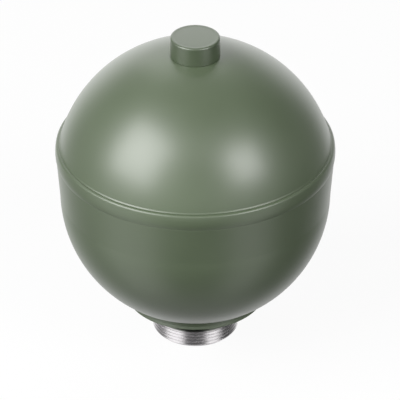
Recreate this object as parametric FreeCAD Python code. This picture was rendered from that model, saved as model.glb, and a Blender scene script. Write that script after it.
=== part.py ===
import FreeCAD, Part
import math
import os

# Screw-in hydropneumatic accumulator: a welded steel sphere with nitrogen above a rubber
# diaphragm and oil below it, and a two-way damper valve in its screw neck.
# Millimetres, +Z up, with the origin at the centre of the neck's end face.

# Screw neck
thread_radius = 18.0
thread_length = 10.3
lead_in_height = 1.6
lead_in_depth = 1.3
runout_height = 2.0
runout_depth = 1.2
spigot_radius = 20.3
spigot_height = 2.7
spigot_edge = 0.4

# Flange of the neck fitting, and its head inside the bowl
flange_radius = 29.3
flange_height = 7.1
flange_edge = 0.4
head_step = 2.2
head_seat_depth = 1.7
weld_leg = 1.8

# Bowl: a flat land round the flange, a sphere, a flaring skirt and a collar
wall = 5.0
land_width = 5.7
land_edge = 0.4
bowl_radius = 55.95
skirt_height = 16.3
skirt_flare = 1.2
collar_bulge = 0.45
collar_height = 6.7
collar_step = 0.5
collar_waist = 3.2
crown_radius = 10.0
nose_depth = 0.5
lip_wall = 1.7

# Dome, and the weld seam where it enters the collar
dome_rise = 42.3
rim_rise = 0.6
rim_edge = 0.4
seam_gap = 0.05
seam_lip = 0.2
seam_bevel_height = 1.7
seam_relief_height = 1.1

# Charge plug on the dome, with its seal
plug_height = 8.4
plug_edge = 0.5
plug_skirt = 1.55
plug_ring_inset = 1.95
plug_ring_width = 0.5
plug_ring_depth = 0.25
plug_spot_margin = 0.3
plug_shank_radius = 5.0
plug_shank_length = 6.5
plug_shank_edge = 0.8
charge_bore_radius = 1.5
charge_bore_depth = 8.0
seal_land = 1.2
seal_width = 2.4
seal_groove_depth = 1.7
seal_edge = 0.5

# Diaphragm, its button and its clamp ring
rubber = 2.4
bead_width = 2.8
bead_height = 3.5
bead_gap = 0.1
skin_gap = 0.1
button_lap = 2.45
button_height = 1.6
button_edge = 0.4
button_cover = 2.0
clamp_ring_height = 2.6
clamp_ring_edge = 1.2

# Bore of the neck fitting, up to the flat seat ring under the button
neck_wall = 4.65
seat_ring_drop = 4.66
seat_ring_margin = 0.8
body_shoulder = 0.6
mouth_edge_height = 0.9
mouth_edge_depth = 1.15
mouth_depth = 3.6
crimp_depth = 0.4
crimp_height = 0.9

# Damper valve: a body with crossed ports, and a stack of leaves on each side
body_height = 8.4
recess_depth = 1.2
body_rim = 0.55
body_edge = 0.3
ports_each_way = 6
port_hole_radius = 0.85
port_wall = 0.3
leaf_thickness = 0.25
leaf_margin = 0.25
full_leaves = 3
small_leaf_step = 2.0
spacer_radius = 4.8
spacer_thickness = 0.3
stop_radius = 6.5
stop_thickness = 1.0
stop_edge = 0.3

# Damper bolt and nut
bolt_radius = 3.0
bolt_head_radius = 5.0
bolt_head_height = 2.5
bolt_head_edge = 0.5
bolt_end_edge = 0.4
bolt_socket_flats = 4.0
bolt_socket_depth = 1.6
bypass_radius = 0.62
nut_flats = 10.0
nut_height = 2.9
nut_edge = 0.7

# Running clearance of a turned piece in its bore
fit_gap = 0.05

# Heights along the axis, from the neck's end face upwards
runout_level = lead_in_height + thread_length
spigot_level = runout_level + runout_height
seal_face_level = spigot_level + spigot_height
land_level = seal_face_level + flange_height
head_seat_level = land_level + head_seat_depth
land_radius = flange_radius + land_width
bowl_centre = land_level + math.sqrt(bowl_radius ** 2 - land_radius ** 2)
foot_level = bowl_centre + skirt_height
rim_level = foot_level + rim_rise
clamp_level = rim_level - clamp_ring_height
bead_level = clamp_level - bead_height
lip_level = foot_level + collar_height
body_top_level = mouth_depth + body_height

# Radii that follow from the walls and fits
bowl_bore_radius = bowl_radius - wall
skirt_radius = bowl_radius + skirt_flare
collar_radius = skirt_radius + collar_bulge
seam_radius = collar_radius - lip_wall
bead_seat_radius = bowl_bore_radius + bead_width
head_radius = flange_radius + head_step
diaphragm_radius = bowl_bore_radius - skin_gap
dome_rim_radius = seam_radius - seam_gap
mouth_radius = thread_radius - neck_wall
port_radius = mouth_radius - body_shoulder
button_radius = port_radius + button_lap
seat_ring_radius = button_radius + seat_ring_margin
seal_groove_radius = plug_shank_radius + seal_land
seal_radius = seal_groove_radius + seal_width
plug_radius = seal_radius + plug_skirt

# The dome is the sphere through the seam circle and the pole
dome_radius = (seam_radius ** 2 + dome_rise ** 2) / (2 * dome_rise)
dome_centre = lip_level + dome_rise - dome_radius
dome_bore_radius = dome_radius - wall
spot_radius = plug_radius + plug_spot_margin
spot_level = dome_centre + math.sqrt(dome_radius ** 2 - spot_radius ** 2)

# The bowl's inside and the neck fitting's top are one sphere, down to the seat ring
seat_ring_level = land_level - seat_ring_drop
floor_centre = seat_ring_level + math.sqrt(bowl_bore_radius ** 2 - seat_ring_radius ** 2)
button_top_level = seat_ring_level + button_height

# Damper: the ports of each set start outside the leaves and end in the middle under them
body_radius = mouth_radius - fit_gap
recess_radius = body_radius - body_rim
bolt_hole_radius = bolt_radius + fit_gap
port_open_radius = recess_radius - port_wall - port_hole_radius
leaf_radius = port_open_radius - port_hole_radius - leaf_margin
port_covered_radius = (spacer_radius + leaf_radius) / 2
leaf_radii = [leaf_radius] * full_leaves + [spacer_radius + small_leaf_step]
lower_face_level = mouth_depth + recess_depth
upper_face_level = body_top_level - recess_depth
stack_height = leaf_thickness * len(leaf_radii) + spacer_thickness


class Outline:
    """Closed outline beside the axis, drawn anticlockwise and turned about the axis."""

    def __init__(self, radius, level):
        self.first = FreeCAD.Vector(radius, 0, level)
        self.last = self.first
        self.edges = []

    def line(self, radius, level):
        point = FreeCAD.Vector(radius, 0, level)
        self.edges.append(Part.LineSegment(self.last, point).toShape())
        self.last = point

    def arc(self, radius, level, centre_radius, centre_level):
        """Arc of less than half a turn about the given centre."""
        point = FreeCAD.Vector(radius, 0, level)
        centre = FreeCAD.Vector(centre_radius, 0, centre_level)
        bisector = (self.last - centre) + (point - centre)
        middle = centre + bisector.normalize() * (point - centre).Length
        self.edges.append(Part.Arc(self.last, middle, point).toShape())
        self.last = point

    def turned(self):
        self.line(self.first.x, self.first.z)
        face = Part.Face(Part.Wire(self.edges))
        return face.revolve(FreeCAD.Vector(0, 0, 0), FreeCAD.Vector(0, 0, 1), 360)


def ball_level(ball_radius, ball_centre, radius, side):
    """Level of a sphere's surface at a radius from the axis: side 1 is above, -1 below."""
    return ball_centre + side * math.sqrt(ball_radius ** 2 - radius ** 2)


def ball_reach(ball_radius, ball_centre, level):
    """Radius from the axis at which a sphere's surface crosses a level."""
    return math.sqrt(ball_radius ** 2 - (level - ball_centre) ** 2)


def washer(radius, hole_radius, level, thickness):
    disc = Part.makeCylinder(radius, thickness, FreeCAD.Vector(0, 0, level))
    hole = Part.makeCylinder(hole_radius, thickness, FreeCAD.Vector(0, 0, level))
    return disc.cut(hole)


def hexagon_bar(flats, level, height):
    corner_radius = flats / math.sqrt(3)
    corners = []
    for number in range(7):
        turn = math.radians(60 * number)
        x = corner_radius * math.cos(turn)
        y = corner_radius * math.sin(turn)
        corners.append(FreeCAD.Vector(x, y, level))
    return Part.Face(Part.makePolygon(corners)).extrude(FreeCAD.Vector(0, 0, height))


def lower_shell():
    """Deep-drawn bowl. Its mouth is widened to a collar that takes the dome's rim."""
    hole_radius = flange_radius + fit_gap
    head_bore_radius = head_radius + fit_gap
    land_outer = land_radius + land_edge
    widest_level = foot_level + collar_waist
    crown_centre = collar_radius - crown_radius
    collar_foot_level = foot_level + collar_step
    collar_foot_radius = crown_centre + ball_reach(crown_radius, widest_level, collar_foot_level)
    nose_start = crown_centre + ball_reach(crown_radius, widest_level, lip_level)
    head_bore_top = ball_level(bowl_bore_radius, floor_centre, head_bore_radius, -1)

    outline = Outline(hole_radius, land_level - weld_leg)
    outline.line(hole_radius + weld_leg, land_level)
    outline.line(land_radius - land_edge, land_level)
    outline.line(land_outer, ball_level(bowl_radius, bowl_centre, land_outer, -1))
    outline.arc(bowl_radius, bowl_centre, 0, bowl_centre)
    outline.line(skirt_radius, foot_level)
    outline.line(collar_foot_radius, collar_foot_level)
    outline.arc(nose_start, lip_level, crown_centre, widest_level)
    outline.line(seam_radius, lip_level - nose_depth)
    outline.line(seam_radius, rim_level)
    outline.line(bead_seat_radius, rim_level)
    outline.line(bead_seat_radius, bead_level)
    outline.line(bowl_bore_radius, bead_level)
    outline.line(bowl_bore_radius, floor_centre)
    outline.arc(head_bore_radius, head_bore_top, 0, floor_centre)
    outline.line(head_bore_radius, head_seat_level)
    outline.line(hole_radius, head_seat_level)
    return outline.turned()


def upper_shell():
    """Pressed dome. Its bevelled edge leaves the groove of the weld seam above the collar."""
    rim_bore = ball_reach(dome_bore_radius, dome_centre, rim_level)
    bevel_level = lip_level + seam_lip + seam_bevel_height
    relief_level = bevel_level + seam_relief_height
    relief_radius = ball_reach(dome_radius, dome_centre, relief_level)
    hole_radius = plug_shank_radius + fit_gap
    hole_level = ball_level(dome_bore_radius, dome_centre, hole_radius, 1)

    outline = Outline(dome_rim_radius - rim_edge, rim_level)
    outline.line(dome_rim_radius, rim_level + rim_edge)
    outline.line(dome_rim_radius, lip_level + seam_lip)
    outline.line(relief_radius, bevel_level)
    outline.line(relief_radius, relief_level)
    outline.arc(spot_radius, spot_level, 0, dome_centre)
    outline.line(hole_radius, spot_level)
    outline.line(hole_radius, hole_level)
    outline.arc(rim_bore, rim_level, 0, dome_centre)
    return outline.turned()


def neck_fitting():
    """Turned steel fitting: threaded neck, sealing flange, and a head welded into the bowl."""
    relief_radius = thread_radius - runout_depth
    head_edge_level = ball_level(bowl_bore_radius, floor_centre, head_radius, -1)
    crimp_radius = mouth_radius - crimp_depth

    outline = Outline(mouth_radius + mouth_edge_depth, 0)
    outline.line(thread_radius - lead_in_depth, 0)
    outline.line(thread_radius, lead_in_height)
    outline.line(thread_radius, runout_level)
    outline.line(relief_radius, runout_level + runout_depth / 2)
    outline.line(relief_radius, spigot_level)
    outline.line(spigot_radius - spigot_edge, spigot_level)
    outline.line(spigot_radius, spigot_level + spigot_edge)
    outline.line(spigot_radius, seal_face_level)
    outline.line(flange_radius - flange_edge, seal_face_level)
    outline.line(flange_radius, seal_face_level + flange_edge)
    outline.line(flange_radius, head_seat_level)
    outline.line(head_radius, head_seat_level)
    outline.line(head_radius, head_edge_level)
    outline.arc(seat_ring_radius, seat_ring_level, 0, floor_centre)
    outline.line(port_radius, seat_ring_level)
    outline.line(port_radius, body_top_level)
    outline.line(mouth_radius, body_top_level)
    outline.line(mouth_radius, mouth_depth)
    outline.line(crimp_radius, mouth_depth)
    outline.line(mouth_radius, mouth_depth - crimp_height)
    outline.line(mouth_radius, mouth_edge_height)
    return outline.turned()


def charge_plug():
    """Screw plug that closes the gas filling hole, with a blind bore and a seal groove."""
    top_level = spot_level + plug_height
    shank_level = spot_level - plug_shank_length
    bore_level = shank_level + charge_bore_depth
    ring_radius = plug_radius - plug_ring_inset

    outline = Outline(charge_bore_radius, shank_level)
    outline.line(plug_shank_radius - plug_shank_edge, shank_level)
    outline.line(plug_shank_radius, shank_level + plug_shank_edge)
    outline.line(plug_shank_radius, spot_level)
    outline.line(seal_groove_radius, spot_level)
    outline.line(seal_groove_radius, spot_level + seal_groove_depth)
    outline.line(seal_radius, spot_level + seal_groove_depth)
    outline.line(seal_radius, spot_level)
    outline.line(plug_radius, spot_level)
    outline.line(plug_radius, top_level - plug_edge)
    outline.line(plug_radius - plug_edge, top_level)
    outline.line(ring_radius + plug_ring_width, top_level)
    outline.line(ring_radius, top_level - plug_ring_depth)
    outline.line(ring_radius - plug_ring_width, top_level)
    outline.line(0, top_level)
    outline.line(0, bore_level)
    outline.line(charge_bore_radius, bore_level)
    return outline.turned()


def charge_seal():
    """Moulded rubber ring with broken corners, held in the groove under the plug's head."""
    inner = seal_groove_radius + fit_gap
    outer = seal_radius - fit_gap
    top = spot_level + seal_groove_depth - fit_gap

    outline = Outline(inner + seal_edge, spot_level)
    outline.line(outer - seal_edge, spot_level)
    outline.line(outer, spot_level + seal_edge)
    outline.line(outer, top - seal_edge)
    outline.line(outer - seal_edge, top)
    outline.line(inner + seal_edge, top)
    outline.line(inner, top - seal_edge)
    outline.line(inner, spot_level + seal_edge)
    return outline.turned()


def diaphragm():
    """Moulded rubber bag that lies in the bowl, with a bead at its edge and a button pocket."""
    pocket_radius = button_radius + fit_gap
    lip_bottom = seat_ring_level + skin_gap
    skin_start = ball_reach(diaphragm_radius, floor_centre, lip_bottom)
    bag_radius = diaphragm_radius - rubber
    cover_level = button_top_level + button_cover
    cover_radius = ball_reach(bag_radius, floor_centre, cover_level)

    outline = Outline(0, button_top_level)
    outline.line(pocket_radius, button_top_level)
    outline.line(pocket_radius, lip_bottom)
    outline.line(skin_start, lip_bottom)
    outline.arc(diaphragm_radius, floor_centre, 0, floor_centre)
    outline.line(diaphragm_radius, bead_level)
    outline.line(bead_seat_radius - bead_gap, bead_level)
    outline.line(bead_seat_radius - bead_gap, clamp_level)
    outline.line(bag_radius, clamp_level)
    outline.line(bag_radius, floor_centre)
    outline.arc(cover_radius, cover_level, 0, floor_centre)
    outline.line(0, cover_level)
    return outline.turned()


def diaphragm_button():
    """Stiff disc under the diaphragm, which closes the port when the oil has run out."""
    outline = Outline(0, seat_ring_level)
    outline.line(button_radius - button_edge, seat_ring_level)
    outline.line(button_radius, seat_ring_level + button_edge)
    outline.line(button_radius, button_top_level)
    outline.line(0, button_top_level)
    return outline.turned()


def clamp_ring():
    """Steel ring between the dome's rim and the diaphragm's bead, bevelled where rubber rolls."""
    outer = bead_seat_radius - fit_gap
    inner = diaphragm_radius - rubber + bead_gap

    outline = Outline(inner + clamp_ring_edge, clamp_level)
    outline.line(outer, clamp_level)
    outline.line(outer, rim_level)
    outline.line(inner, rim_level)
    outline.line(inner, clamp_level + clamp_ring_edge)
    return outline.turned()


def slanted_port(start_radius, end_radius, turn):
    """Drill through the damper's web from a radius on the lower face to one on the upper."""
    start = FreeCAD.Vector(start_radius, 0, lower_face_level)
    end = FreeCAD.Vector(end_radius, 0, upper_face_level)
    run = end - start
    spare = port_hole_radius * 2
    tip = start - run.normalize() * spare
    length = (end - start).Length + 2 * spare
    drill = Part.makeCylinder(port_hole_radius, length, tip, end - start)
    drill.rotate(FreeCAD.Vector(0, 0, 0), FreeCAD.Vector(0, 0, 1), turn)
    web_height = upper_face_level - lower_face_level
    web = Part.makeCylinder(recess_radius, web_height, FreeCAD.Vector(0, 0, lower_face_level))
    return drill.common(web)


def damper_body():
    """Disc with a raised rim on both faces and two sets of crossed ports between them."""
    outline = Outline(bolt_hole_radius, lower_face_level)
    outline.line(recess_radius, lower_face_level)
    outline.line(recess_radius, mouth_depth)
    outline.line(body_radius - body_edge, mouth_depth)
    outline.line(body_radius, mouth_depth + body_edge)
    outline.line(body_radius, body_top_level - body_edge)
    outline.line(body_radius - body_edge, body_top_level)
    outline.line(recess_radius, body_top_level)
    outline.line(recess_radius, upper_face_level)
    outline.line(bolt_hole_radius, upper_face_level)
    body = outline.turned()
    pitch = 360 / ports_each_way
    for number in range(ports_each_way):
        upward = slanted_port(port_open_radius, port_covered_radius, number * pitch)
        downward = slanted_port(port_covered_radius, port_open_radius, (number + 0.5) * pitch)
        body = body.cut(upward).cut(downward)
    return body


def damper_bolt():
    """Bolt that holds both leaf stacks, bored through as a bypass, with a hexagon socket."""
    head_level = upper_face_level + stack_height + stop_thickness
    head_top = head_level + bolt_head_height
    end_level = lower_face_level - stack_height - nut_height

    outline = Outline(bypass_radius, end_level)
    outline.line(bolt_radius - bolt_end_edge, end_level)
    outline.line(bolt_radius, end_level + bolt_end_edge)
    outline.line(bolt_radius, head_level)
    outline.line(bolt_head_radius, head_level)
    outline.line(bolt_head_radius, head_top - bolt_head_edge)
    outline.line(bolt_head_radius - bolt_head_edge, head_top)
    outline.line(bypass_radius, head_top)
    socket = hexagon_bar(bolt_socket_flats, head_top - bolt_socket_depth, bolt_socket_depth)
    return outline.turned().cut(socket)


def damper_nut():
    """Hexagon nut with its corners turned off, on the mouth side of the damper."""
    top_level = lower_face_level - stack_height
    end_level = top_level - nut_height
    corner_radius = nut_flats / math.sqrt(3)

    outline = Outline(bolt_hole_radius, end_level)
    outline.line(corner_radius - nut_edge, end_level)
    outline.line(corner_radius, end_level + nut_edge / 2)
    outline.line(corner_radius, top_level)
    outline.line(bolt_hole_radius, top_level)
    return hexagon_bar(nut_flats, end_level, nut_height).common(outline.turned())


def stop_washer():
    """Thick washer that limits how far the inner leaves lift."""
    level = upper_face_level + stack_height

    outline = Outline(bolt_hole_radius, level)
    outline.line(stop_radius, level)
    outline.line(stop_radius, level + stop_thickness - stop_edge)
    outline.line(stop_radius - stop_edge, level + stop_thickness)
    outline.line(bolt_hole_radius, level + stop_thickness)
    return outline.turned()


pieces = {
    "upper_shell": upper_shell(),
    "lower_shell": lower_shell(),
    "neck_fitting": neck_fitting(),
    "charge_plug": charge_plug(),
    "charge_seal": charge_seal(),
    "diaphragm": diaphragm(),
    "diaphragm_button": diaphragm_button(),
    "clamp_ring": clamp_ring(),
    "damper_body": damper_body(),
    "damper_bolt": damper_bolt(),
    "damper_nut": damper_nut(),
    "bump_stop_washer": stop_washer(),
}

# Both stacks start with a full leaf on the body's face and end with the small leaf
for place, radius in enumerate(leaf_radii):
    above = upper_face_level + place * leaf_thickness
    below = lower_face_level - (place + 1) * leaf_thickness
    bump_leaf = washer(radius, bolt_hole_radius, above, leaf_thickness)
    rebound_leaf = washer(radius, bolt_hole_radius, below, leaf_thickness)
    pieces[f"bump_leaf_{place + 1}"] = bump_leaf
    pieces[f"rebound_leaf_{place + 1}"] = rebound_leaf

bump_spacer_level = upper_face_level + stack_height - spacer_thickness
rebound_spacer_level = lower_face_level - stack_height
pieces["bump_spacer"] = washer(spacer_radius, bolt_hole_radius, bump_spacer_level, spacer_thickness)
pieces["rebound_spacer"] = washer(spacer_radius, bolt_hole_radius, rebound_spacer_level, spacer_thickness)

os.makedirs("parts", exist_ok=True)
for name, piece in pieces.items():
    piece.exportStep(f"parts/{name}.step")
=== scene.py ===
import math

import bpy
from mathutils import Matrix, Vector


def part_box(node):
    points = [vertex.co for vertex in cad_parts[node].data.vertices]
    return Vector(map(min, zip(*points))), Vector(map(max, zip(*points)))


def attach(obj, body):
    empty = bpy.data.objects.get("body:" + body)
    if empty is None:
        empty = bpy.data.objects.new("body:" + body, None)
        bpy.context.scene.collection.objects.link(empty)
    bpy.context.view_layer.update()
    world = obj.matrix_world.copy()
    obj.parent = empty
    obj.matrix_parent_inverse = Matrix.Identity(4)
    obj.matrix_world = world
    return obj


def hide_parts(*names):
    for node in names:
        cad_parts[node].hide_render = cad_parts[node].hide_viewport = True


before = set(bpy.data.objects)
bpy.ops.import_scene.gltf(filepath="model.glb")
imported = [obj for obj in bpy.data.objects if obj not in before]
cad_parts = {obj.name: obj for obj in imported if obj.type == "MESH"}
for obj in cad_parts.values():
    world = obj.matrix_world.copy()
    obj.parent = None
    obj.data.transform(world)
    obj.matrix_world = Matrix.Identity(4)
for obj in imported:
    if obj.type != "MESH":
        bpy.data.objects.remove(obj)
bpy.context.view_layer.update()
mm = 0.001

# Neck fitting. It is turned from one steel bar: a screw neck, a spigot for the seal ring, a
# flange, and a head that sits in the bowl. The neck stays bare and oiled; the flange is
# painted together with the shells after welding.
fine_sides = 256
thread_radius = 18.0
thread_pitch = 1.5
thread_depth = 0.42
thread_root_width = 0.12
thread_flank_angle = 30
thread_turns = 9
tool_overreach = 0.12
lead_in_height = 1.3
lead_in_depth = 0.9
runout_level = 11.9
runout_depth = 1.2
spigot_level = 13.9
spigot_radius = 20.3
spigot_edge = 0.4
seal_face_level = 16.6
flange_radius = 29.3
flange_round = 0.2
flange_round_steps = 4
flange_rim_level = 16.9
flange_rim_top = 17.8
flange_rim_slope = 0.4
weld_groove_level = 17.9
weld_groove_top = 21.7
weld_groove_depth = 0.45
head_seat_level = 25.5
bowl_bore_radius = 50.95
seat_ring_radius = 16.0
seat_ring_level = 19.14
port_radius = 12.75
mouth_radius = 13.35
mouth_edge_depth = 1.15
mouth_edge_height = 0.9
body_seat_level = 12.0
crimp_level = 3.6
crimp_depth = 0.4
crimp_height = 0.9
# Painted shade on the neck under the flange: the levels and radii where it starts and where it is
# full.
shade_start_level = 7.1
shade_full_level = 7.9
shade_start_radius = 15.0
shade_full_radius = 16.0
paint_start_radius = spigot_radius + 0.5
paint_start_level = seal_face_level - 0.1


def size_of(node):
    """Outer radius, lowest level and highest level of a frame node, in millimetres."""
    low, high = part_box(node)
    return high.x / mm, low.z / mm, high.z / mm


def arc(centre_radius, centre_level, radius, first_angle, last_angle, steps):
    """Points of a round stretch of an outline. Angle 0 points outwards and 90 upwards."""
    points = []
    for step in range(steps + 1):
        angle = math.radians(first_angle + (last_angle - first_angle) * step / steps)
        point_radius = centre_radius + radius * math.cos(angle)
        points.append((point_radius, centre_level + radius * math.sin(angle)))
    return points


def angle_at(centre_radius, centre_level, radius, level):
    """Angle, seen from a centre, of the point at a radius and level."""
    return math.degrees(math.atan2(level - centre_level, radius - centre_radius))


def turned(name, outline, sides, closed=True):
    """Turned piece: rings extruded from point to point of its outline, in millimetres.

    A closed outline comes back to its first ring, and an open one is capped at both ends."""
    radius, level = outline[0]
    bpy.ops.object.select_all(action="DESELECT")
    bpy.ops.mesh.primitive_circle_add(
        vertices=sides, radius=radius * mm, location=(0, 0, level * mm))
    piece = bpy.context.object
    piece.name = piece.data.name = name
    bpy.ops.object.transform_apply(location=True, rotation=False, scale=False)
    bpy.ops.object.mode_set(mode="EDIT")
    for next_radius, next_level in outline[1:] + outline[:1] * closed:
        rise = (0, 0, (next_level - level) * mm)
        bpy.ops.mesh.extrude_edges_move(TRANSFORM_OT_translate={"value": rise})
        ratio = next_radius / radius
        centre = (0, 0, next_level * mm)
        bpy.ops.transform.resize(value=(ratio, ratio, 1), center_override=centre)
        radius, level = next_radius, next_level
    bpy.ops.mesh.select_all(action="SELECT")
    bpy.ops.mesh.remove_doubles(threshold=0.001 * mm)
    bpy.ops.mesh.fill_holes(sides=0)
    bpy.ops.mesh.select_all(action="SELECT")
    bpy.ops.mesh.normals_make_consistent(inside=False)
    bpy.ops.object.mode_set(mode="OBJECT")
    return piece


def work_on(piece):
    bpy.ops.object.select_all(action="DESELECT")
    bpy.context.view_layer.objects.active = piece
    piece.select_set(True)


def cut_away(piece, tool, operation="DIFFERENCE"):
    """Boolean of a piece with a tool, which is used up."""
    work_on(piece)
    bpy.ops.object.modifier_add(type="BOOLEAN")
    cut = piece.modifiers[-1]
    cut.operation = operation
    cut.solver = "EXACT"
    cut.object = tool
    bpy.ops.object.modifier_apply(modifier=cut.name)
    bpy.data.objects.remove(tool)


def finish_mesh(piece, edge_round=0.0, smooth_angle=36):
    """Rounds the sharp edges a little and shades the piece so that flat faces stay flat."""
    work_on(piece)
    if edge_round:
        bpy.ops.object.modifier_add(type="BEVEL")
        bevel = piece.modifiers[-1]
        bevel.width = edge_round * mm
        bevel.segments = 3
        bevel.limit_method = "ANGLE"
        bevel.angle_limit = math.radians(28)
        bpy.ops.object.modifier_apply(modifier=bevel.name)
    bpy.ops.object.shade_smooth_by_angle(angle=math.radians(smooth_angle))
    bpy.ops.object.modifier_add(type="WEIGHTED_NORMAL")
    weighted = piece.modifiers[-1]
    weighted.keep_sharp = True
    bpy.ops.object.modifier_apply(modifier=weighted.name)


def give_material(piece, *materials):
    piece.data.materials.clear()
    for material in materials:
        piece.data.materials.append(material)


def add_node(tree, kind, values=(), **settings):
    """Node of a material or group. values gives each socket a number, a colour or an output."""
    made = tree.nodes.new(kind)
    for setting, value in settings.items():
        setattr(made, setting, value)
    for socket, value in dict(values).items():
        if isinstance(value, bpy.types.NodeSocket):
            tree.links.new(value, made.inputs[socket])
        else:
            made.inputs[socket].default_value = value
    return made


def maths(tree, operation, first, second=0.0):
    """Output of a Math node of two numbers or outputs."""
    values = {0: first, 1: second}
    return add_node(tree, "ShaderNodeMath", values, operation=operation).outputs[0]


def spread(tree, value, low, high, from_low, from_high):
    """Output of a Map Range node, which takes a value's own range to the one from low to high."""
    values = {"Value": value, "From Min": from_low, "From Max": from_high,
              "To Min": low, "To Max": high}
    return add_node(tree, "ShaderNodeMapRange", values).outputs["Result"]


def colour_between(tree, factor, first, second):
    """Output of a colour Mix node. The colours are (red, green, blue) or outputs."""
    mix = add_node(tree, "ShaderNodeMix", {0: factor}, data_type="RGBA")
    for socket, colour in ((6, first), (7, second)):
        if isinstance(colour, bpy.types.NodeSocket):
            tree.links.new(colour, mix.inputs[socket])
        else:
            mix.inputs[socket].default_value = (*colour, 1.0)
    return mix.outputs[2]


def new_group(name, inputs, outputs):
    """Node group with named number sockets, each input with its usual value."""
    group = bpy.data.node_groups.new(name, "ShaderNodeTree")
    for label, value in inputs.items():
        socket = group.interface.new_socket(label, in_out="INPUT", socket_type="NodeSocketFloat")
        socket.default_value = value
    for label in outputs:
        group.interface.new_socket(label, in_out="OUTPUT", socket_type="NodeSocketFloat")
    return group, group.nodes.new("NodeGroupInput"), group.nodes.new("NodeGroupOutput")


def new_material(name, metallic):
    material = bpy.data.materials.new(name)
    material.use_nodes = True
    shader = material.node_tree.nodes["Principled BSDF"]
    shader.inputs["Metallic"].default_value = metallic
    return material, material.node_tree, shader


def surface(tree, shader, colour, roughness, height, depth):
    """Leads a colour, a roughness and a bump height of a given depth in mm to the shader."""
    bump = add_node(tree, "ShaderNodeBump", {"Height": height, "Distance": depth * mm})
    tree.links.new(colour, shader.inputs["Base Color"])
    tree.links.new(roughness, shader.inputs["Roughness"])
    tree.links.new(bump.outputs["Normal"], shader.inputs["Normal"])


def make_tool_marks():
    """Fine turning marks round the axis, and slow changes of tone over the piece."""
    group, entry, leave = new_group(
        "tool_marks", {"Marks per mm": 6.0, "Tone scale": 60.0}, ["Height", "Tone"])
    place = add_node(group, "ShaderNodeTexCoord")
    parts = add_node(group, "ShaderNodeSeparateXYZ", {0: place.outputs["Object"]})
    x_square = maths(group, "MULTIPLY", parts.outputs["X"], parts.outputs["X"])
    y_square = maths(group, "MULTIPLY", parts.outputs["Y"], parts.outputs["Y"])
    radius = maths(group, "SQRT", maths(group, "ADD", x_square, y_square))
    along = maths(group, "MULTIPLY", parts.outputs["Z"], 1.37)
    density = maths(group, "MULTIPLY", entry.outputs["Marks per mm"], 1.0 / mm)
    path = maths(group, "MULTIPLY", maths(group, "ADD", radius, along), density)
    rings = add_node(
        group, "ShaderNodeTexNoise", {"W": path, "Scale": 1.0, "Detail": 2.0},
        noise_dimensions="1D")
    tone = add_node(
        group, "ShaderNodeTexNoise",
        {"Vector": place.outputs["Object"], "Scale": entry.outputs["Tone scale"], "Detail": 3.0})
    group.links.new(rings.outputs["Fac"], leave.inputs["Height"])
    group.links.new(tone.outputs["Fac"], leave.inputs["Tone"])
    return group


def bare_surface(name, dark, light, smooth, rough, per_mm, depth, metallic=1.0):
    """Unpainted surface: two tones, its roughness range, and its marks per mm and their depth."""
    material, tree, shader = new_material(name, metallic)
    marks = add_node(tree, "ShaderNodeGroup", node_tree=tool_marks)
    marks.inputs["Marks per mm"].default_value = per_mm
    colour = colour_between(tree, marks.outputs["Tone"], dark, light)
    mixed = maths(tree, "MULTIPLY", marks.outputs["Height"], marks.outputs["Tone"])
    roughness = spread(tree, mixed, smooth, rough, 0.05, 0.5)
    surface(tree, shader, colour, roughness, marks.outputs["Height"], depth)
    return material


def make_paint_skin():
    """Sprayed paint: the fine orange peel, slow changes of shade, and a few dust nibs."""
    group, entry, leave = new_group(
        "paint_skin", {"Peel size mm": 0.9, "Nib share": 0.06}, ["Height", "Shade"])
    place = add_node(group, "ShaderNodeTexCoord").outputs["Object"]
    peel_scale = maths(group, "DIVIDE", 1.0 / mm, entry.outputs["Peel size mm"])
    peel = add_node(
        group, "ShaderNodeTexNoise", {"Vector": place, "Scale": peel_scale, "Detail": 1.5})
    shade = add_node(
        group, "ShaderNodeTexNoise", {"Vector": place, "Scale": 22.0, "Detail": 3.0})
    cells = add_node(group, "ShaderNodeTexVoronoi", {"Vector": place, "Scale": 160.0})
    chosen = maths(group, "LESS_THAN", cells.outputs["Color"], entry.outputs["Nib share"])
    near = spread(group, cells.outputs["Distance"], 1.0, 0.0, 0.0, 0.05)
    nib = maths(group, "MULTIPLY", chosen, near)
    height = maths(group, "ADD", peel.outputs["Fac"], maths(group, "MULTIPLY", nib, 1.5))
    group.links.new(height, leave.inputs["Height"])
    group.links.new(shade.outputs["Fac"], leave.inputs["Shade"])
    return group


def green_paint(name, deep, pale, smooth, rough, peel_depth):
    """Satin green enamel over steel: its two shades, its roughness range and its peel in mm."""
    material, tree, shader = new_material(name, 0.0)
    skin = add_node(tree, "ShaderNodeGroup", node_tree=paint_skin)
    share = spread(tree, skin.outputs["Shade"], 0, 1, 0.3, 0.7)
    colour = colour_between(tree, share, deep, pale)
    roughness = spread(tree, skin.outputs["Shade"], smooth, rough, 0.3, 0.7)
    shader.inputs["Specular IOR Level"].default_value = 0.75
    shader.inputs["Coat Weight"].default_value = 0.8
    shader.inputs["Coat Roughness"].default_value = 0.33
    surface(tree, shader, colour, roughness, skin.outputs["Height"], peel_depth)
    return material


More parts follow.
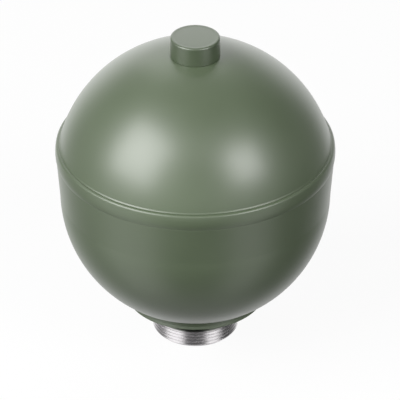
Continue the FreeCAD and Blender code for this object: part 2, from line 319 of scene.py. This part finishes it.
def painted_shade_under_flange(material):
    """Painted shade: darkens the outside of the neck above the middle of its thread, under the
    flange.
    """
    tree = material.node_tree
    base_colour = tree.nodes["Principled BSDF"].inputs["Base Color"]
    clean_colour, painted_shade_colour = base_colour.links[0].from_socket, (0.15, 0.16, 0.14)
    place = add_node(tree, "ShaderNodeTexCoord").outputs["Object"]
    parts = add_node(tree, "ShaderNodeSeparateXYZ", {0: place})
    flat = add_node(
        tree, "ShaderNodeCombineXYZ", {0: parts.outputs["X"], 1: parts.outputs["Y"]}).outputs[0]
    reach = add_node(tree, "ShaderNodeVectorMath", {0: flat}, operation="LENGTH").outputs["Value"]
    above = spread(tree, parts.outputs["Z"], 0, 1, shade_start_level * mm, shade_full_level * mm)
    outside = spread(tree, reach, 0, 1, shade_start_radius * mm, shade_full_radius * mm)
    shade_share = maths(tree, "MULTIPLY", above, outside)
    tree.links.new(colour_between(tree, shade_share, clean_colour, painted_shade_colour), base_colour)


def helical_cutter():
    """The V tool's path: a trapezium swept along the thread's helix, past both ends."""
    outer_radius = thread_radius + tool_overreach
    root_radius = thread_radius - thread_depth
    reach = outer_radius - root_radius
    middle = (outer_radius + root_radius) / 2
    half_height = reach * math.tan(math.radians(thread_flank_angle)) + thread_root_width / 2
    bpy.ops.object.select_all(action="DESELECT")
    bpy.ops.mesh.primitive_plane_add(
        size=1, location=(middle * mm, 0, -thread_pitch * mm), rotation=(math.pi / 2, 0, 0))
    tool = bpy.context.object
    tool.scale = (reach * mm, half_height * 2 * mm, 1)
    bpy.ops.object.transform_apply(location=True, rotation=True, scale=True)
    bpy.ops.object.mode_set(mode="EDIT")
    bpy.ops.mesh.select_all(action="DESELECT")
    bpy.ops.object.mode_set(mode="OBJECT")
    for vertex in tool.data.vertices:
        vertex.select = vertex.co.x < middle * mm
    bpy.ops.object.mode_set(mode="EDIT")
    root_share = thread_root_width / 2 / half_height
    bpy.ops.transform.resize(
        value=(1, 1, root_share), center_override=(root_radius * mm, 0, -thread_pitch * mm))
    bpy.ops.mesh.select_all(action="SELECT")
    bpy.ops.mesh.delete(type="ONLY_FACE")
    bpy.ops.object.mode_set(mode="OBJECT")
    bpy.ops.object.modifier_add(type="SCREW")
    screw = tool.modifiers[-1]
    screw.angle = 2 * math.pi
    screw.screw_offset = thread_pitch * mm
    screw.iterations = thread_turns
    screw.steps = screw.render_steps = 128
    bpy.ops.object.modifier_apply(modifier=screw.name)
    bpy.ops.object.mode_set(mode="EDIT")
    bpy.ops.mesh.select_all(action="SELECT")
    bpy.ops.mesh.fill_holes(sides=0)
    bpy.ops.mesh.select_all(action="SELECT")
    bpy.ops.mesh.normals_make_consistent(inside=False)
    bpy.ops.object.mode_set(mode="OBJECT")
    return tool


head_radius, neck_end_level, head_edge_level = size_of("neck_fitting")
relief_radius = thread_radius - runout_depth
floor_centre = seat_ring_level + math.sqrt(bowl_bore_radius ** 2 - seat_ring_radius ** 2)
dish = arc(
    0, floor_centre, bowl_bore_radius,
    angle_at(0, floor_centre, head_radius, head_edge_level),
    angle_at(0, floor_centre, seat_ring_radius, seat_ring_level), 12)
neck_outline = [
    (mouth_radius + mouth_edge_depth, neck_end_level),
    (thread_radius - lead_in_depth, neck_end_level),
    (thread_radius, lead_in_height),
    (thread_radius, runout_level),
    (relief_radius, runout_level + runout_depth / 2),
    (relief_radius, spigot_level),
    (spigot_radius - spigot_edge, spigot_level),
    (spigot_radius, spigot_level + spigot_edge),
    (spigot_radius, seal_face_level),
    *arc(flange_radius - flange_round, seal_face_level + flange_round, flange_round, -90, 0,
         flange_round_steps),
    (flange_radius, flange_rim_level),
    (flange_radius - flange_rim_slope, flange_rim_top),
    (flange_radius - weld_groove_depth, weld_groove_level),
    (flange_radius - weld_groove_depth, weld_groove_top - weld_groove_depth),
    (flange_radius, weld_groove_top),
    (flange_radius, head_seat_level),
    (head_radius, head_seat_level),
    *dish,
    (port_radius, seat_ring_level),
    (port_radius, body_seat_level),
    (mouth_radius, body_seat_level),
    (mouth_radius, crimp_level),
    (mouth_radius - crimp_depth, crimp_level),
    (mouth_radius, crimp_level - crimp_height),
    (mouth_radius, mouth_edge_height),
]
neck_fitting = turned("neck_fitting_turned", neck_outline, fine_sides)
cut_away(neck_fitting, helical_cutter())
finish_mesh(neck_fitting, smooth_angle=30)

tool_marks = make_tool_marks()
paint_skin = make_paint_skin()
neck_steel = bare_surface(
    "neck_steel", (0.87, 0.845, 0.865), (0.95, 0.93, 0.94), 0.2, 0.33, 9.0, 0.003)
# Painted shade darkens the neck's top under the flange.
painted_shade_under_flange(neck_steel)
shell_paint = green_paint(
    "shell_paint", (0.075, 0.103, 0.056), (0.084, 0.116, 0.063), 0.44, 0.52, 0.006)
give_material(neck_fitting, neck_steel, shell_paint)
for face in neck_fitting.data.polygons:
    face_radius = math.hypot(face.center.x, face.center.y) / mm
    face_level = face.center.z / mm
    if face_radius > paint_start_radius and face_level > paint_start_level:
        face.material_index = 1
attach(neck_fitting, "root")
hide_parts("neck_fitting")

# Lower shell. It is deep drawn from steel plate: a flat land round the flange, a ball-shaped
# bowl and a flaring skirt. Its mouth is widened to a collar, whose lip is welded to the dome.
land_level = 23.7
land_radius = 35.0
land_round = 1.2
weld_leg = 1.8
fit_gap = 0.05
bowl_radius = 55.95
foot_level = 83.65
foot_crease = 0.15
skirt_radius = 57.15
skirt_draft = 0.01
collar_step = 0.15
collar_waist = 3.2
crown_radius = 10.0
shoulder_radius = 13.0
nose_radius = 1.1
nose_rise = 0.2
nose_end_angle = 118
groove_drop = 0.06
lip_wall = 1.7
bead_seat_radius = 53.75
bead_level = 78.15

collar_radius, weld_level, lip_level = size_of("lower_shell")
dome_rim_radius, rim_level, spot_level = size_of("upper_shell")
seam_radius = collar_radius - lip_wall
groove_level = lip_level - groove_drop
bowl_centre = land_level + math.sqrt(bowl_radius ** 2 - land_radius ** 2)
flange_hole = flange_radius + fit_gap
head_bore = head_radius + fit_gap
head_bore_top = floor_centre - math.sqrt(bowl_bore_radius ** 2 - head_bore ** 2)
round_centre_level = land_level + land_round
round_centre_radius = math.sqrt(
    (bowl_radius - land_round) ** 2 - (bowl_centre - round_centre_level) ** 2)
bowl_start_angle = angle_at(0, bowl_centre, round_centre_radius, round_centre_level)
crown_centre = collar_radius - crown_radius
widest_level = foot_level + collar_waist
crown_low = math.degrees(math.asin((foot_level + collar_step - widest_level) / crown_radius))
shoulder_centre = collar_radius - shoulder_radius
nose_reach = shoulder_radius - nose_radius
nose_centre_level = lip_level + nose_rise - nose_radius
nose_angle = math.degrees(math.asin((nose_centre_level - widest_level) / nose_reach))
nose_centre_radius = shoulder_centre + nose_reach * math.cos(math.radians(nose_angle))
lower_outline = [
    (flange_hole, weld_level),
    (flange_hole + weld_leg, land_level),
    *arc(round_centre_radius, round_centre_level, land_round, -90, bowl_start_angle, 6),
    *arc(0, bowl_centre, bowl_radius, bowl_start_angle, 0, 44)[1:],
    (skirt_radius - skirt_draft, foot_level - foot_crease),
    (skirt_radius, foot_level),
    *arc(crown_centre, widest_level, crown_radius, crown_low, 0, 12),
    *arc(shoulder_centre, widest_level, shoulder_radius, 0, nose_angle, 6)[1:],
    *arc(nose_centre_radius, nose_centre_level, nose_radius, nose_angle, nose_end_angle, 10)[1:],
    (seam_radius, groove_level),
    (seam_radius, rim_level),
    (bead_seat_radius, rim_level),
    (bead_seat_radius, bead_level),
    (bowl_bore_radius, bead_level),
    *arc(0, floor_centre, bowl_bore_radius, 0,
         angle_at(0, floor_centre, head_bore, head_bore_top), 30),
    (head_bore, head_seat_level),
    (flange_hole, head_seat_level),
]
lower_shell = turned("lower_shell_drawn", lower_outline, fine_sides)
finish_mesh(lower_shell, edge_round=0.25)
give_material(lower_shell, shell_paint)
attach(lower_shell, "root")
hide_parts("lower_shell")

# Upper shell. It is a pressed steel dome. Its bevelled edge stands in the collar and leaves
# the groove of the weld seam; a flat at the pole seats the charge plug.
dome_rise = 42.3
wall = 5.0
rim_edge = 0.4
crest_radius = 55.88
crest_rise = 0.32
crest_round = 0.15
crest_start_angle = -20
flare_radius = 1.2
flare_low_angle = 52
flare_high_angle = 20
relief_rise = 1.3
spot_radius = 10.45
plug_hole_radius = 5.05

dome_radius = (seam_radius ** 2 + dome_rise ** 2) / (2 * dome_rise)
dome_centre = lip_level + dome_rise - dome_radius
dome_bore_radius = dome_radius - wall
crest_level = lip_level + crest_rise
flare_reach = crest_round + flare_radius
flare_centre_radius = crest_radius + flare_reach * math.cos(math.radians(flare_low_angle))
flare_centre_level = crest_level + flare_reach * math.sin(math.radians(flare_low_angle))
relief_level = lip_level + relief_rise
relief_wall_radius = math.sqrt(dome_radius ** 2 - (relief_level - dome_centre) ** 2)
rim_bore = math.sqrt(dome_bore_radius ** 2 - (rim_level - dome_centre) ** 2)
hole_top = dome_centre + math.sqrt(dome_bore_radius ** 2 - plug_hole_radius ** 2)
upper_outline = [
    (rim_bore, rim_level),
    (dome_rim_radius - rim_edge, rim_level),
    (dome_rim_radius, rim_level + rim_edge),
    (dome_rim_radius, groove_level),
    *arc(crest_radius, crest_level, crest_round, crest_start_angle, flare_low_angle, 5),
    *arc(flare_centre_radius, flare_centre_level, flare_radius,
         180 + flare_low_angle, 180 + flare_high_angle, 8)[1:],
    *arc(0, dome_centre, dome_radius,
         angle_at(0, dome_centre, relief_wall_radius, relief_level),
         angle_at(0, dome_centre, spot_radius, spot_level), 60),
    (plug_hole_radius, spot_level),
    *arc(0, dome_centre, dome_bore_radius,
         angle_at(0, dome_centre, plug_hole_radius, hole_top),
         angle_at(0, dome_centre, rim_bore, rim_level), 30)[:-1],
]
upper_shell = turned("upper_shell_pressed", upper_outline, fine_sides)
finish_mesh(upper_shell, edge_round=0.2, smooth_angle=30)
give_material(upper_shell, shell_paint)
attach(upper_shell, "root")
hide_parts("upper_shell")

# Charge plug. It is a turned steel screw plug with a chamfered top and a faint ring where it
# was held; it was painted with the ball after the gas was filled in.
cap_radius = 0.5
plug_edge = 0.5
ring_inset = 1.95
ring_width = 0.5
ring_depth = 0.12
shank_radius = 5.0
shank_edge = 0.8
seal_groove_radius = 6.2
seal_groove_width = 2.4
seal_groove_depth = 1.7

plug_radius, shank_level, plug_top = size_of("charge_plug")
ring_radius = plug_radius - ring_inset
plug_outline = [
    (cap_radius, plug_top),
    (ring_radius - ring_width, plug_top),
    (ring_radius, plug_top - ring_depth),
    (ring_radius + ring_width, plug_top),
    (plug_radius - plug_edge, plug_top),
    (plug_radius, plug_top - plug_edge),
    (plug_radius, spot_level),
    (seal_groove_radius + seal_groove_width, spot_level),
    (seal_groove_radius + seal_groove_width, spot_level + seal_groove_depth),
    (seal_groove_radius, spot_level + seal_groove_depth),
    (seal_groove_radius, spot_level),
    (shank_radius, spot_level),
    (shank_radius, shank_level + shank_edge),
    (shank_radius - shank_edge, shank_level),
    (cap_radius, shank_level),
]
charge_plug = turned("charge_plug_turned", plug_outline, 160, closed=False)
finish_mesh(charge_plug, edge_round=0.3)
# Painted shade: the plug's green is a darker copy of the shell paint, though one paint covers
# both.
plug_paint = green_paint(
    "plug_paint", (0.058, 0.081, 0.043), (0.068, 0.095, 0.051), 0.4, 0.47, 0.005)
give_material(charge_plug, plug_paint)
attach(charge_plug, "root")
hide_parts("charge_plug")

# Damper valve in the neck: a sintered iron body with crossed slanted ports, held in the bore
# by the crimped lip, with blued spring leaves on both faces under one bolt and nut.
turned_sides = 128
web_margin = 0.1
recess_radius = 12.75
lower_face_level = 4.8
upper_face_level = 10.8
body_edge = 0.3
port_open_radius = 11.6
port_covered_radius = 7.65
port_hole_radius = 0.85
ports_each_way = 6
bolt_radius = 3.0
bolt_hole_radius = 3.05
bolt_end_edge = 0.4
bolt_head_edge = 0.5
bolt_socket_flats = 4.0
bolt_socket_depth = 1.6
socket_overreach = 1.0
bypass_radius = 0.62
nut_flats = 10.0
nut_edge = 0.7
washer_round_share = 0.2


def slanted_drill(start_radius, end_radius):
    """Drill along X through the damper's web, from a radius on its lower face to one above."""
    web_height = upper_face_level - lower_face_level
    slope = (end_radius - start_radius) / web_height
    middle_radius = (start_radius + end_radius) / 2
    middle_level = (lower_face_level + upper_face_level) / 2
    length = web_height + 2 * web_margin
    bpy.ops.object.select_all(action="DESELECT")
    bpy.ops.mesh.primitive_cylinder_add(
        vertices=40, radius=port_hole_radius * mm, depth=length * mm,
        location=(middle_radius * mm, 0, middle_level * mm))
    drill = bpy.context.object
    drill.scale.x = math.sqrt(1 + slope ** 2)
    bpy.ops.object.transform_apply(location=True, rotation=False, scale=True)
    for side in (-1, 1):
        bpy.ops.object.mode_set(mode="EDIT")
        bpy.ops.mesh.select_all(action="DESELECT")
        bpy.ops.object.mode_set(mode="OBJECT")
        for vertex in drill.data.vertices:
            vertex.select = side * (vertex.co.z - middle_level * mm) > 0
        bpy.ops.object.mode_set(mode="EDIT")
        bpy.ops.transform.translate(value=(side * slope * length / 2 * mm, 0, 0))
        bpy.ops.object.mode_set(mode="OBJECT")
    return drill


def turned_copy(model, turn):
    """Copy of a tool, turned about the axis by an angle in degrees."""
    copy = model.copy()
    copy.data = model.data.copy()
    bpy.context.scene.collection.objects.link(copy)
    copy.rotation_euler.z = math.radians(turn)
    return copy


def hexagon_bar(flats, low_level, high_level):
    """Hexagon bar with two corners on the X axis."""
    bpy.ops.object.select_all(action="DESELECT")
    bpy.ops.mesh.primitive_cylinder_add(
        vertices=6, radius=flats / math.sqrt(3) * mm, depth=(high_level - low_level) * mm,
        location=(0, 0, (low_level + high_level) / 2 * mm), rotation=(0, 0, math.pi / 2))
    bar = bpy.context.object
    bpy.ops.object.transform_apply(location=True, rotation=True, scale=False)
    return bar


def add_valve_piece(piece, node, material):
    give_material(piece, material)
    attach(piece, "root")
    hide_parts(node)


body_radius, body_low, body_high = size_of("damper_body")
damper_body = turned("damper_body_pressed", [
    (bolt_hole_radius, lower_face_level),
    (recess_radius, lower_face_level),
    (recess_radius, body_low),
    (body_radius - body_edge, body_low),
    (body_radius, body_low + body_edge),
    (body_radius, body_high - body_edge),
    (body_radius - body_edge, body_high),
    (recess_radius, body_high),
    (recess_radius, upper_face_level),
    (bolt_hole_radius, upper_face_level),
], turned_sides)
inward_drill = slanted_drill(port_open_radius, port_covered_radius)
outward_drill = slanted_drill(port_covered_radius, port_open_radius)
for number in range(ports_each_way):
    turn = number * 360 / ports_each_way
    cut_away(damper_body, turned_copy(inward_drill, turn))
    cut_away(damper_body, turned_copy(outward_drill, turn + 180 / ports_each_way))
bpy.data.objects.remove(inward_drill)
bpy.data.objects.remove(outward_drill)
finish_mesh(damper_body, smooth_angle=30)
sintered_iron = bare_surface(
    "sintered_iron", (0.1, 0.1, 0.105), (0.17, 0.17, 0.175), 0.45, 0.62, 3.0, 0.01, metallic=0.8)
add_valve_piece(damper_body, "damper_body", sintered_iron)

spring_steel = bare_surface(
    "blued_spring_steel", (0.055, 0.075, 0.12), (0.1, 0.12, 0.16), 0.22, 0.36, 12.0, 0.002)
pressed_steel = bare_surface(
    "pressed_steel", (0.4, 0.4, 0.39), (0.52, 0.51, 0.5), 0.3, 0.5, 4.0, 0.004)
washers = {f"{side}_leaf_{number}": (spring_steel, "spring_steel")
           for side in ("bump", "rebound") for number in range(1, 5)}
for node in ("bump_spacer", "rebound_spacer", "bump_stop_washer"):
    washers[node] = (pressed_steel, "pressed_steel")
for node, (material, slot) in washers.items():
    outer_radius, low_level, high_level = size_of(node)
    washer = turned(node + "_stamped", [
        (bolt_hole_radius, low_level), (outer_radius, low_level),
        (outer_radius, high_level), (bolt_hole_radius, high_level)], turned_sides)
    finish_mesh(washer, edge_round=(high_level - low_level) * washer_round_share)
    add_valve_piece(washer, node, material)

zinc_steel = bare_surface(
    "zinc_steel", (0.52, 0.52, 0.51), (0.66, 0.66, 0.64), 0.24, 0.4, 7.0, 0.003)
bolt_head_radius, bolt_low, bolt_high = size_of("damper_bolt")
bolt_head_level = size_of("bump_stop_washer")[2]
damper_bolt = turned("damper_bolt_turned", [
    (bypass_radius, bolt_low),
    (bolt_radius - bolt_end_edge, bolt_low),
    (bolt_radius, bolt_low + bolt_end_edge),
    (bolt_radius, bolt_head_level),
    (bolt_head_radius, bolt_head_level),
    (bolt_head_radius, bolt_high - bolt_head_edge),
    (bolt_head_radius - bolt_head_edge, bolt_high),
    (bypass_radius, bolt_high),
], 64)
socket_key = hexagon_bar(
    bolt_socket_flats, bolt_high - bolt_socket_depth, bolt_high + socket_overreach)
cut_away(damper_bolt, socket_key)
finish_mesh(damper_bolt, edge_round=0.1)
add_valve_piece(damper_bolt, "damper_bolt", zinc_steel)

corner_radius, nut_low, nut_high = size_of("damper_nut")
nut_blank = turned("nut_blank", [
    (bolt_hole_radius, nut_low),
    (corner_radius - nut_edge, nut_low),
    (corner_radius, nut_low + nut_edge / 2),
    (corner_radius, nut_high),
    (bolt_hole_radius, nut_high),
], 96)
damper_nut = hexagon_bar(nut_flats, nut_low, nut_high)
damper_nut.name = damper_nut.data.name = "damper_nut_machined"
cut_away(damper_nut, nut_blank, "INTERSECT")
finish_mesh(damper_nut, edge_round=0.12)
add_valve_piece(damper_nut, "damper_nut", zinc_steel)

# Pieces that nothing shows from outside: the moulded rubber diaphragm with its plastic button,
# the steel clamp ring over its bead, and the plug's seal. Their solids get their real finish.
rubber = bare_surface(
    "moulded_rubber", (0.012, 0.012, 0.012), (0.022, 0.022, 0.022), 0.55, 0.75, 2.0, 0.01,
    metallic=0.0)
button_plastic = bare_surface(
    "button_plastic", (0.42, 0.4, 0.34), (0.5, 0.47, 0.4), 0.4, 0.55, 2.0, 0.004, metallic=0.0)
give_material(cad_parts["diaphragm"], rubber)
give_material(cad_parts["diaphragm_button"], button_plastic)
give_material(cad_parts["clamp_ring"], pressed_steel)
give_material(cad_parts["charge_seal"], rubber)

# Floor: a plain white table that the object stands on by its neck. Reflections look through it
# at the studio below, so that the paint and the bare steel show soft white and dark walls.
bpy.ops.object.select_all(action="DESELECT")
bpy.ops.mesh.primitive_plane_add(size=8)
floor = bpy.context.object
floor.name = "floor"
floor_white, tree, shader = new_material("floor_white", 0.0)
shader.inputs["Roughness"].default_value = 0.7
rays = add_node(tree, "ShaderNodeLightPath")
bounce_colour, camera_colour = (0.09, 0.09, 0.09), (0.8, 0.8, 0.8)
colour = colour_between(tree, rays.outputs["Is Camera Ray"], bounce_colour, camera_colour)
tree.links.new(colour, shader.inputs["Base Color"])
glow = add_node(tree, "ShaderNodeEmission", {"Color": (1, 1, 1, 1), "Strength": 1.0})
glow_share = 0.93
camera_share = maths(tree, "MULTIPLY", rays.outputs["Is Camera Ray"], glow_share)
mix = add_node(
    tree, "ShaderNodeMixShader", {0: camera_share, 1: shader.outputs[0], 2: glow.outputs[0]})
tree.links.new(mix.outputs[0], tree.nodes["Material Output"].inputs["Surface"])
give_material(floor, floor_white)
floor.visible_glossy = False


# World: white where the camera looks past the table. Reflections see a pale backdrop behind,
# white cards at both sides of the camera, darkness between and beyond them, and a ceiling that
# grows dimmer upwards.
def ramp(tree, value, stops):
    """Grey level that eases from stop to stop. A stop is a value from 0 to 1 and its level."""
    node = add_node(tree, "ShaderNodeValToRGB", {0: value})
    node.color_ramp.interpolation = "EASE"
    elements = node.color_ramp.elements
    while len(elements) < len(stops):
        elements.new(0.5)
    for element, (position, level) in zip(elements, stops):
        element.position = position
        element.color = (level, level, level, 1)
    return node.outputs["Color"]


world = bpy.data.worlds.new("studio")
bpy.context.scene.world = world
world.use_nodes = True
world.cycles.sampling_method = "NONE"
tree = world.node_tree
tree.nodes.clear()
rays = add_node(tree, "ShaderNodeLightPath")
mirrored = maths(
    tree, "MAXIMUM", rays.outputs["Is Glossy Ray"], rays.outputs["Is Transmission Ray"])
way = add_node(tree, "ShaderNodeTexCoord").outputs["Generated"]
parts = add_node(tree, "ShaderNodeSeparateXYZ", {0: way})
rightward, backward, upward = (parts.outputs[axis] for axis in "XYZ")
azimuth = maths(tree, "ARCTAN2", rightward, maths(tree, "MULTIPLY", backward, -1))

# The turn is 0 and 1 straight behind the object, 0.25 at its left and 0.5 on the camera's side.
turn = spread(tree, azimuth, 0, 1, -math.pi, math.pi)
walls = ramp(tree, turn, [
    (0.0, 1.0), (0.08, 0.95), (0.15, 0.4), (0.21, 0.2), (0.25, 0.25), (0.29, 1.0),
    (0.38, 1.0), (0.44, 0.06), (0.56, 0.06), (0.61, 0.95), (0.67, 0.9), (0.71, 0.05),
    (0.79, 0.05), (0.85, 0.25), (0.92, 0.9), (1.0, 1.0)])
walls = maths(tree, "MULTIPLY", walls, spread(tree, upward, 0.95, 1.3, -0.6, -0.35))
ceiling = spread(tree, upward, 1.5, 0.3, 0.15, 0.48)
for shade in (spread(tree, rightward, 1.0, 0.15, 0.46, 0.74),
              spread(tree, rightward, 0.25, 1.0, -0.76, -0.5),
              spread(tree, backward, 0.5, 1.0, -0.4, 0.2)):
    ceiling = maths(tree, "MULTIPLY", ceiling, shade)
ground_colour, fill_colour, white = (0.37, 0.37, 0.37), (0.05, 0.05, 0.05), (1.0, 1.0, 1.0)
above_ground = spread(tree, upward, 0, 1, -0.97, -0.85)
above_walls = spread(tree, upward, 0, 1, -0.3, -0.05)
room = colour_between(tree, above_ground, ground_colour, walls)
room = colour_between(tree, above_walls, room, ceiling)
room = colour_between(tree, mirrored, fill_colour, room)
room = colour_between(tree, rays.outputs["Is Camera Ray"], room, white)
light = add_node(tree, "ShaderNodeBackground", {"Color": room, "Strength": 1.0})
add_node(tree, "ShaderNodeOutputWorld", {"Surface": light.outputs[0]})


def softbox(name, azimuth, elevation, distance, width, height, power):
    """Area lamp that faces the object. Azimuth 0 is the camera's side, and 90 is the right."""
    side, rise = math.radians(azimuth), math.radians(elevation)
    outward = math.cos(rise)
    way = Vector((math.sin(side) * outward, -math.cos(side) * outward, math.sin(rise)))
    target = Vector((0, 0, 0.07))
    lamp = bpy.data.lights.new(name, "AREA")
    lamp.shape = "RECTANGLE"
    lamp.size = width
    lamp.size_y = height
    lamp.energy = power
    holder = bpy.data.objects.new(name, lamp)
    holder.location = target + way * distance
    holder.rotation_euler = way.to_track_quat("Z", "Y").to_euler()
    bpy.context.scene.collection.objects.link(holder)


softbox("left_softbox", -58, 35, 1.1, 0.82, 0.82, 16.5)
softbox("right_softbox", 48, 32, 1.1, 0.5, 0.5, 6.8)
softbox("front_softbox", 0, 52, 1.4, 1.4, 0.6, 1.6)
softbox("back_softbox", -174, 42, 1.4, 1.0, 0.95, 4.0)

# Camera: the photograph's view. It stands in front of the object, 1.5 m away, and looks down at
# it by 32.6 degrees.
view_elevation = math.radians(32.6)
view_distance = 1.5
aim = Vector((0.00193, 0, 0.06189))
camera_data = bpy.data.cameras.new("camera")
camera_data.sensor_width = 36
camera_data.lens = 325.35
camera = bpy.data.objects.new("camera", camera_data)
back = Vector((0, -math.cos(view_elevation), math.sin(view_elevation)))
camera.location = aim + back * view_distance
camera.rotation_euler = back.to_track_quat("Z", "Y").to_euler()
bpy.context.scene.collection.objects.link(camera)
bpy.context.scene.camera = camera
bpy.context.scene.view_settings.view_transform = "Standard"
